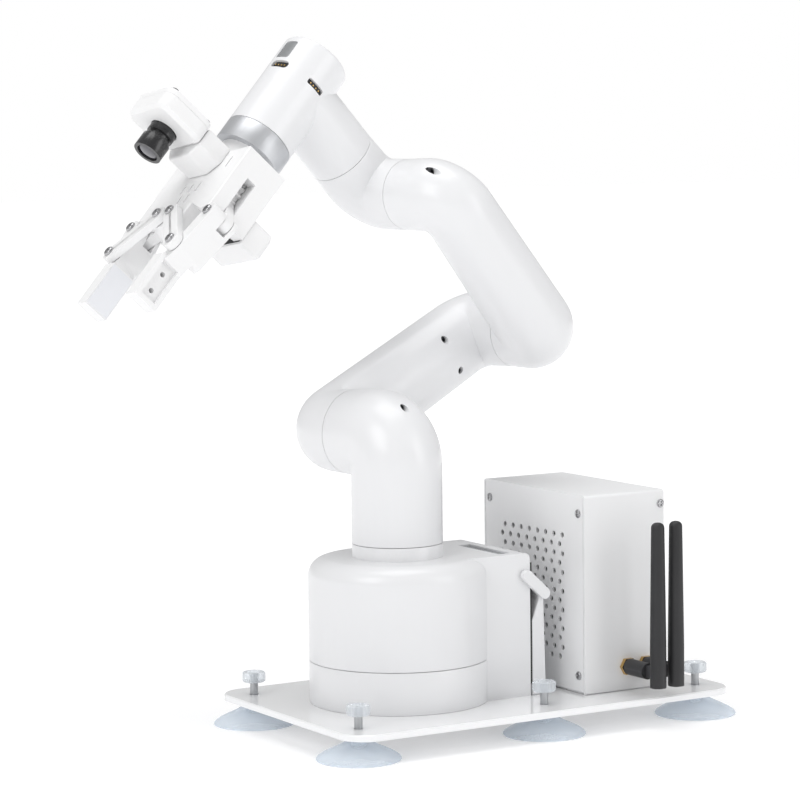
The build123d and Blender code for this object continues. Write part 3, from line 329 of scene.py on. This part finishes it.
def join_rings(mesh, low, high):
    """Quads between two rings of the same count."""
    for i in range(len(low)):
        j = (i + 1) % len(low)
        mesh.faces.new((low[i], low[j], high[j], high[i]))


def lathe(mesh, outline, matrix, steps):
    """Closed turned solid with a flat foot and top."""
    made = rings(mesh, outline, matrix, steps)
    mesh.faces.new(list(reversed(made[0])))
    mesh.faces.new(made[-1])


def tube(mesh, outline, matrix, steps, radius_at=None):
    """Closed ring-shaped solid whose outline runs round its wall."""
    made = rings(mesh, outline, matrix, steps, radius_at)
    join_rings(mesh, made[-1], made[0])


def box_between(mesh, low, high, round_by, axes=None):
    """Box with rounded edges from one corner to the other, along the given axes or the frame's own."""
    turn = Matrix(axes).transposed().to_4x4() if axes else Matrix.Identity(4)
    size = [high[i] - low[i] for i in range(3)]
    middle = Vector([(high[i] + low[i]) / 2 for i in range(3)])
    made = bmesh.ops.create_cube(mesh, size=1, matrix=Matrix.Diagonal((*size, 1)))["verts"]
    bmesh.ops.translate(mesh, verts=made, vec=middle)
    edges = list({e for v in made for e in v.link_edges})
    rounded = bmesh.ops.bevel(mesh, geom=edges, offset=round_by, segments=3, affect="EDGES", profile=0.5)
    made = list({v for f in rounded["faces"] for v in f.verts} | {v for v in made if v.is_valid})
    bmesh.ops.transform(mesh, matrix=turn, verts=made)


def reach(node, axis):
    """(lowest, highest) distance of a CAD node's vertices along an axis through the origin."""
    distances = [vert.co.dot(axis) for vert in NODES[node].data.vertices]
    return min(distances), max(distances)


def piece(name, mesh, material, body, smooth=True):
    """Turn a bmesh into an object of a named material that rides on a CAD body."""
    bmesh.ops.remove_doubles(mesh, verts=mesh.verts, dist=SAME_POINT)
    bmesh.ops.recalc_face_normals(mesh, faces=mesh.faces)
    data = bpy.data.meshes.new(name)
    mesh.to_mesh(data)
    mesh.free()
    obj = bpy.data.objects.new(name, data)
    bpy.context.scene.collection.objects.link(obj)
    data.materials.append(MATERIALS[material])
    for polygon in data.polygons:
        polygon.use_smooth = smooth
    if smooth:
        data.set_sharp_from_angle(angle=SHARP_ANGLE)
    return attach(obj, body)


def islands(node):
    """(lowest, highest) corner of each separate solid in a CAD node, sorted by place."""
    mesh = bmesh.new()
    mesh.from_mesh(NODES[node].data)
    bmesh.ops.remove_doubles(mesh, verts=mesh.verts, dist=SAME_CORNER)
    unseen, found = set(mesh.verts), []
    while unseen:
        seed = unseen.pop()
        stack, group = [seed], [seed.co.copy()]
        while stack:
            for edge in stack.pop().link_edges:
                for vert in edge.verts:
                    if vert in unseen:
                        unseen.remove(vert)
                        stack.append(vert)
                        group.append(vert.co.copy())
        low = Vector([min(p[i] for p in group) for i in range(3)])
        high = Vector([max(p[i] for p in group) for i in range(3)])
        found.append((low, high))
    mesh.free()
    return sorted(found, key=lambda b: [round(v, 4) for v in b[0]])


def foot_of(low, high):
    """Matrix that puts a piece's own origin at the middle of a box's foot."""
    return Matrix.Translation(((low.x + high.x) / 2, (low.y + high.y) / 2, low.z))


# ---------------------------------------------------------------- directions and places of the tool
def joint_axis(name):
    """Unit axis of a CAD joint at rest."""
    return Vector(JOINTS[name]["axis"]).normalized()


def joint_place(name):
    """Point of a CAD joint at rest."""
    return Vector(JOINTS[name]["pos_m"])


SIDE = joint_axis("shoulder")
TOOL = joint_axis("tool_turn")
FACE = joint_axis("crank_right_turn")
JAW = FACE.cross(TOOL)
UP = Vector((0, 0, 1))


def along(axis, distance, point):
    """The point moved along a unit axis until it lies at a distance from the origin."""
    return point + axis * (distance - point.dot(axis))


# ---------------------------------------------------------------- screws
DOME = ((1.0, 0.0), (1.0, 0.35), (0.93, 0.68), (0.78, 0.9), (0.66, 1.0))  # share of radius, share of height
CROSS_ARM, CROSS_WIDTH, CROSS_FLOOR = 0.6, 0.16, 0.7  # shares of the head's radius, and of the cross
SOCKET_RADIUS = 0.5  # share of the head's radius
RECESS_DEPTH = 0.65  # share of the head's height
HEAD_STEPS, SHANK_STEPS, SOCKET_CORNERS = 40, 24, 6


def head_rings(mesh, seat, axis, radius, height):
    """Side and dome of a screw head, open at the top."""
    outline = [(share * radius, lift * height) for share, lift in DOME]
    made = rings(mesh, outline, place(seat, axis), HEAD_STEPS)
    mesh.faces.new(list(reversed(made[0])))
    return made[-1]


def ring_edges(mesh, ring):
    """Edges between neighbours in a ring of vertices."""
    return [mesh.edges.get((ring[i], ring[(i + 1) % len(ring)])) for i in range(len(ring))]


def recess(mesh, rim, corners, floor, matrix):
    """Sunk drive recess: its walls and floor, and the head's top between the rim and the corners."""
    top = [mesh.verts.new(matrix @ corner) for corner in corners]
    bottom = [mesh.verts.new(matrix @ point) for point in floor]
    join_rings(mesh, top, bottom)
    mesh.faces.new(bottom)
    bmesh.ops.triangle_fill(mesh, use_beauty=True, edges=ring_edges(mesh, rim) + ring_edges(mesh, top))


def crossed_head(mesh, seat, axis, radius, height):
    """Domed screw head with a cross recess, standing on its seat."""
    rim = head_rings(mesh, seat, axis, radius, height)
    arm, half = radius * CROSS_ARM, radius * CROSS_WIDTH
    corners = []
    for quarter in range(4):
        turn = Matrix.Rotation(math.radians(90 * quarter), 3, "Z")
        corners += [turn @ Vector((x, y, height)) for x, y in ((half, -half), (arm, -half), (arm, half))]
    floor_height = height * (1 - RECESS_DEPTH)
    floor = [Vector((p.x * CROSS_FLOOR, p.y * CROSS_FLOOR, floor_height)) for p in corners]
    recess(mesh, rim, corners, floor, place(seat, axis))


def socket_head(mesh, seat, axis, radius, height):
    """Screw head with a hexagon recess, standing on its seat."""
    rim = head_rings(mesh, seat, axis, radius, height)
    corners = []
    for i in range(SOCKET_CORNERS):
        angle = FULL_TURN * i / SOCKET_CORNERS
        corners.append(Vector((math.cos(angle), math.sin(angle), 0)) * radius * SOCKET_RADIUS + UP * height)
    floor = [Vector((p.x, p.y, height * (1 - RECESS_DEPTH))) for p in corners]
    recess(mesh, rim, corners, floor, place(seat, axis))


def shank(mesh, seat, axis, radius, length):
    """Plain shank that runs down from a head's seat."""
    lathe(mesh, [(radius, -length), (radius, 0.0)], place(seat, axis), SHANK_STEPS)


# case screws, on the cover's side and on the front panel
CASE_SCREW_HEIGHT, CASE_SCREW_SHANK = 0.9 * MM, 1.3 * MM
CASE_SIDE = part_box("case_cover")[1].x
CASE_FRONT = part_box("case_front_panel")[0].y
panel = bmesh.new()
for low, high in islands("case_screws"):
    centre, radius = (low + high) / 2, (high.z - low.z) / 2
    if high.x > CASE_SIDE:
        axis, seat = Vector((1, 0, 0)), Vector((CASE_SIDE, centre.y, centre.z))
    else:
        axis, seat = Vector((0, -1, 0)), Vector((centre.x, CASE_FRONT, centre.z))
    crossed_head(panel, seat, axis, radius, CASE_SCREW_HEIGHT)
    shank(panel, seat, axis, CASE_SCREW_SHANK, CASE_SCREW_SHANK)
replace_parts(piece("panel_screws", panel, "screw_steel", "base"), "case_screws")

# gripper screws: two for each finger to turn on, and one for each link to turn on the housing
SCREW_RADIUS, SCREW_HEIGHT, SCREW_SHANK = 2.7 * MM, 1.5 * MM, 1.46 * MM
LINK_TOP = reach("link_right", FACE)[1]
FINGER_TOP = reach("grip_housing", FACE)[1]
SKIN = 0.1 * MM
for side in ("right", "left"):
    crank_pin = joint_place(f"finger_{side}_turn")
    link_pin = joint_place(f"link_{side}_turn")
    finger_pin = link_pin + crank_pin - joint_place(f"crank_{side}_turn")
    low_end = reach(f"finger_screws_{side}", FACE)[0]
    screws = bmesh.new()
    for point, top in ((crank_pin, FINGER_TOP), (finger_pin, LINK_TOP)):
        seat = along(FACE, top + SKIN, point)
        crossed_head(screws, seat, FACE, SCREW_RADIUS, SCREW_HEIGHT)
        shank(screws, seat, FACE, SCREW_SHANK, top + SKIN - low_end)
    bolts = piece(f"finger_{side}_bolts", screws, "screw_steel", f"finger_{side}")
    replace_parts(bolts, f"finger_screws_{side}")

AXLE_RADIUS, AXLE_LENGTH, AXLE_PROUD = 1.96 * MM, 11 * MM, 3 * MM
pins = bmesh.new()
pins_low = reach("grip_pins", FACE)[0]
for side in ("right", "left"):
    seat = along(FACE, LINK_TOP + SKIN, joint_place(f"link_{side}_turn"))
    crossed_head(pins, seat, FACE, SCREW_RADIUS, SCREW_HEIGHT)
    shank(pins, seat, FACE, SCREW_SHANK, LINK_TOP + SKIN - pins_low)
    axle_top = along(FACE, reach(f"crank_{side}", FACE)[1] + AXLE_PROUD, joint_place(f"crank_{side}_turn"))
    shank(pins, axle_top, FACE, AXLE_RADIUS, AXLE_LENGTH)
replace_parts(piece("grip_pivots", pins, "screw_steel", "tool"), "grip_pins")

# camera screws
CAMERA_HEAD = (2.2 * MM, 1.2 * MM)  # radius and height
CAMERA_SHANK = (1.4 * MM, 2.6 * MM)  # radius and length
camera_bolts = bmesh.new()
back_plane = reach("camera_back", TOOL)[0]
for low, high in islands("camera_screws"):
    seat = along(TOOL, back_plane, (low + high) / 2)
    socket_head(camera_bolts, seat, -TOOL, *CAMERA_HEAD)
    shank(camera_bolts, seat, -TOOL, *CAMERA_SHANK)
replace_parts(piece("camera_bolts", camera_bolts, "screw_dark", "tool"), "camera_screws")

# screws down in the wells of the column, the forearm and the upper arm
WELL_HEAD = (1.8 * MM, 1.4 * MM)  # radius and height
WELL_SHANK = (1.3 * MM, 8 * MM)  # radius and length
UPPER_ARM_SINK = 0.6 * MM
# from the joint at the casing's bend: along its link, across it, and out towards the screw's head
COLUMN_WELL = (14.6 * MM, -2.0 * MM, 5.0 * MM)
FOREARM_WELL = (15.3 * MM, 1.2 * MM, -3.4 * MM)


def well_screw(name, body, corner, link, well):
    """Dark socket screw at the foot of a casing's screw well."""
    mesh = bmesh.new()
    seat = corner + link * well[0] + SIDE.cross(link) * well[1] - SIDE * well[2]
    socket_head(mesh, seat, -SIDE, *WELL_HEAD)
    shank(mesh, seat, -SIDE, *WELL_SHANK)
    piece(name, mesh, "screw_dark", body)


FORE = (joint_place("wrist_bend") - joint_place("elbow")).normalized()
well_screw("column_bolt", "column", joint_place("shoulder"), UP, COLUMN_WELL)
well_screw("forearm_bolt", "forearm", joint_place("wrist_bend"), FORE, FOREARM_WELL)

upper_bolts = bmesh.new()
for low, high in islands("upper_arm_screws"):
    centre = (low + high) / 2
    socket_head(upper_bolts, centre + SIDE * UPPER_ARM_SINK, -SIDE, *WELL_HEAD)
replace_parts(piece("upper_arm_bolts", upper_bolts, "screw_dark", "upper_arm"), "upper_arm_screws")

# ---------------------------------------------------------------- suction cups and thumb nuts
CUP_OUTLINE = (  # share of radius, share of height: round the outside, over the neck and down the inside
    (0.985, 0.0),
    (1.0, 0.05),
    (0.97, 0.13),
    (0.86, 0.26),
    (0.68, 0.42),
    (0.5, 0.56),
    (0.36, 0.7),
    (0.29, 0.8),
    (0.27, 0.84),
    (0.34, 0.86),
    (0.34, 0.98),
    (0.2, 0.995),
    (0.2, 0.62),
    (0.4, 0.46),
    (0.62, 0.3),
    (0.82, 0.14),
    (0.93, 0.02),
)
CUP_STEPS = 72
cups = bmesh.new()
for low, high in islands("suction_cups"):
    radius, tall = (high.x - low.x) / 2, high.z - low.z
    outline = [(share * radius, lift * tall) for share, lift in CUP_OUTLINE]
    tube(cups, outline, foot_of(low, high), CUP_STEPS)
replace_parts(piece("suction_cups_soft", cups, "cup_clear", "base"), "suction_cups")

NUT_RIBS, NUT_STEPS = 16, 96
NUT_RIB_DEPTH = 0.035  # share of the nut's radius
NUT_BORE = 2.2 * MM
NUT_DISH = 0.82  # height of the dished top's floor, as a share of the nut's


def ribbed(angle, radius):
    """Radius of a thumb nut's fluted side."""
    return radius * (1 - NUT_RIB_DEPTH * (1 + math.cos(NUT_RIBS * angle)) / 2)


nuts = bmesh.new()
for low, high in islands("cup_knobs"):
    radius, tall = (high.x - low.x) / 2, high.z - low.z
    outline = (
        (NUT_BORE, 0.0),
        (radius * 0.9, 0.0),
        (radius, tall * 0.12),
        (radius, tall * 0.86),
        (radius * 0.93, tall),
        (radius * 0.6, tall),
        (radius * 0.52, tall * NUT_DISH),
        (NUT_BORE, tall * NUT_DISH),
    )
    tube(nuts, outline, foot_of(low, high), NUT_STEPS, ribbed)
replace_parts(piece("thumb_nuts", nuts, "knob_clear", "base"), "cup_knobs")

# ---------------------------------------------------------------- camera lens glass
LENS_GLASS_RADIUS, LENS_GLASS_RISE, LENS_GLASS_SUNK = 5.4 * MM, 0.9 * MM, 1.15 * MM
LENS_GLASS_RINGS, LENS_GLASS_STEPS = 8, 64
LENS_GLASS_CROWN = 0.02  # share of the radius left flat at the crown
lens_tip = reach("camera_lens", TOOL)[1]
lens_middle = JAW * sum(reach("camera_lens", JAW)) / 2 + FACE * sum(reach("camera_lens", FACE)) / 2
glass = bmesh.new()
glass_outline = []
for step in range(LENS_GLASS_RINGS + 1):
    angle = math.radians(90) * step / LENS_GLASS_RINGS
    radius = LENS_GLASS_RADIUS * max(math.cos(angle), LENS_GLASS_CROWN)
    glass_outline.append((radius, LENS_GLASS_RISE * math.sin(angle)))
glass_foot = along(TOOL, lens_tip - LENS_GLASS_SUNK, lens_middle)
lathe(glass, glass_outline, place(glass_foot, TOOL), LENS_GLASS_STEPS)
piece("lens_glass", glass, "lens_glass", "tool")

# ---------------------------------------------------------------- soft pads on the fingers' gripping faces
PAD_THICK, PAD_MARGIN, PAD_LENGTH, PAD_WIDTH = 0.4 * MM, 0.6 * MM, 24.3 * MM, 12.9 * MM
for side, hand in ((1, "right"), (-1, "left")):
    node = f"finger_{hand}"
    inner = reach(node, JAW * side)[0] * side
    tip, top = reach(node, TOOL)[1] - PAD_MARGIN, reach(node, FACE)[1] - PAD_MARGIN
    pad = bmesh.new()
    near, far = sorted((inner, inner - side * PAD_THICK))
    low, high = (tip - PAD_LENGTH, near, top - PAD_WIDTH), (tip, far, top)
    box_between(pad, low, high, round_by=PAD_THICK / 3, axes=(TOOL, JAW, FACE))
    piece(f"{node}_pad", pad, "finger_pad", node)

# ---------------------------------------------------------------- pins in the head's ports
PORT_PINS, PORT_PIN_STEPS = 4, 12
PORT_PITCH, PORT_PIN_LIFT = 2.0 * MM, 0.9 * MM
PORT_PIN_OUTLINE = ((0.45 * MM, 0.0), (0.45 * MM, 1.0 * MM), (0.2 * MM, 1.3 * MM))  # radius, height
port_pins = bmesh.new()
for low, high in islands("head_ports"):
    centre = (low + high) / 2
    offset = centre - joint_place("tool_turn")
    outward = (offset - TOOL * offset.dot(TOOL)).normalized()
    across = outward.cross(TOOL).normalized()
    for i in range(PORT_PINS):
        spot = centre + across * (i - (PORT_PINS - 1) / 2) * PORT_PITCH + outward * PORT_PIN_LIFT
        lathe(port_pins, PORT_PIN_OUTLINE, place(spot, outward), PORT_PIN_STEPS)
piece("port_pins", port_pins, "connector_gold", "head")

# ---------------------------------------------------------------- connectors behind the case's rear openings
# mm: to the left of the middle, above the tray's foot, width, height
SOCKETS = ((-28, 30, 13.4, 12.6), (-10, 30, 13.4, 12.6), (10, 28, 14.6, 11.6), (30, 26, 9.6, 4.2))
SOCKET_WALL, SOCKET_DEEP, SOCKET_FLOOR = 0.5 * MM, 9 * MM, 5 * MM
SOCKET_PROUD, CORE_ROUNDING = 0.4 * MM, 0.2 * MM
tray_low, tray_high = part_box("case_tray")
sockets = bmesh.new()
cores = bmesh.new()
for left_by, above, wide, tall in SOCKETS:
    mouth = Vector((-left_by * MM, tray_high.y + SOCKET_PROUD, tray_low.z + above * MM))
    sleeve = []
    for depth, inset in ((0, 0), (SOCKET_DEEP, 0), (SOCKET_DEEP, SOCKET_WALL), (0, SOCKET_WALL)):
        w, h = wide * MM / 2 - inset, tall * MM / 2 - inset
        corners = ((-w, -h), (w, -h), (w, h), (-w, h))
        sleeve.append([sockets.verts.new(mouth + Vector((x, -depth, z))) for x, z in corners])
    for first, second in zip(sleeve, sleeve[1:] + sleeve[:1], strict=True):
        join_rings(sockets, first, second)
    inside = Vector((wide * MM / 2 - 2 * SOCKET_WALL, 0, tall * MM / 2 - 2 * SOCKET_WALL))
    deep = mouth - Vector((0, SOCKET_DEEP, 0))
    box_between(cores, deep - inside, deep + inside + Vector((0, SOCKET_FLOOR, 0)), round_by=CORE_ROUNDING)
piece("rear_sockets", sockets, "screw_steel", "base", smooth=False)
piece("rear_socket_cores", cores, "black_plastic", "base")

# ---------------------------------------------------------------- studio
FLOOR_REACH = 8  # metres from the middle to each edge
FLOOR_GLOW = (0.2, 0.66)  # added brightness, by the object and far away
FLOOR_FADE = (0.25, 1.6)  # metres between which the glow rises
floor_mesh = bmesh.new()
bmesh.ops.create_grid(floor_mesh, x_segments=1, y_segments=1, size=FLOOR_REACH)
floor_data = bpy.data.meshes.new("floor")
floor_mesh.to_mesh(floor_data)
floor_mesh.free()
floor = bpy.data.objects.new("floor", floor_data)
bpy.context.scene.collection.objects.link(floor)
paper = surface("pale_floor", (0.90, 0.90, 0.905), (0.89, 0.89, 0.895), (0.6, 0.7), (40, 0.00001))
paper_shader = paper.node_tree.nodes["Principled BSDF"]
paper_shader.inputs["Emission Color"].default_value = (1, 1, 1, 1)
paper_nodes, paper_link = paper.node_tree.nodes, paper.node_tree.links.new
paper_place = paper_nodes.new("ShaderNodeTexCoord")
paper_far = paper_nodes.new("ShaderNodeVectorMath")
paper_far.operation = "LENGTH"
paper_link(paper_place.outputs["Object"], paper_far.inputs[0])
glow = spread(paper_nodes, paper_link, paper_far.outputs["Value"], *FLOOR_GLOW, FLOOR_FADE)
paper_link(glow, paper_shader.inputs["Emission Strength"])
floor_data.materials.append(paper)


def softbox(name, place_at, aim, size, power):
    """Rectangular area light aimed at a point: its two sides in metres and its power in watts."""
    lamp = bpy.data.lights.new(name, "AREA")
    lamp.shape = "RECTANGLE"
    lamp.size, lamp.size_y = size
    lamp.energy = power
    obj = bpy.data.objects.new(name, lamp)
    bpy.context.scene.collection.objects.link(obj)
    obj.location = place_at
    obj.rotation_euler = (Vector(aim) - Vector(place_at)).to_track_quat("-Z", "Y").to_euler()


AIM = (0.0, 0.03, 0.2)
softbox("key", (0.6, -1.7, 1.2), AIM, (1.0, 1.2), 11)
softbox("fill", (1.7, 1.1, 0.8), AIM, (0.8, 1.4), 7)
softbox("top", (-0.1, 0.0, 2.0), AIM, (1.4, 1.4), 16)

LIGHT_STRENGTH, BACKDROP_STRENGTH = 0.52, 1.0  # what lights the object, and what the camera sees
world = bpy.data.worlds.new("studio")
bpy.context.scene.world = world
world.use_nodes = True
world_nodes, world_link = world.node_tree.nodes, world.node_tree.links.new
backdrop = world_nodes["Background"]
backdrop.inputs["Color"].default_value = (1, 1, 1, 1)
path = world_nodes.new("ShaderNodeLightPath")
strength = world_nodes.new("ShaderNodeMapRange")
strength.inputs["To Min"].default_value = LIGHT_STRENGTH
strength.inputs["To Max"].default_value = BACKDROP_STRENGTH
world_link(path.outputs["Is Camera Ray"], strength.inputs["Value"])
world_link(strength.outputs["Result"], backdrop.inputs["Strength"])

bpy.context.scene.view_settings.view_transform = "Standard"

CAMERA_PLACE = (1.3038, -0.7824, 0.3105)
CAMERA_TURN = (84.51, 0.665, 58.89)  # degrees
CAMERA_LENS, CAMERA_SENSOR = 139.24, 36  # mm
camera_data = bpy.data.cameras.new("camera")
camera_data.lens = CAMERA_LENS
camera_data.sensor_width = CAMERA_SENSOR
camera = bpy.data.objects.new("camera", camera_data)
bpy.context.scene.collection.objects.link(camera)
camera.location = CAMERA_PLACE
camera.rotation_euler = Euler([math.radians(a) for a in CAMERA_TURN], "XYZ")
bpy.context.scene.camera = camera
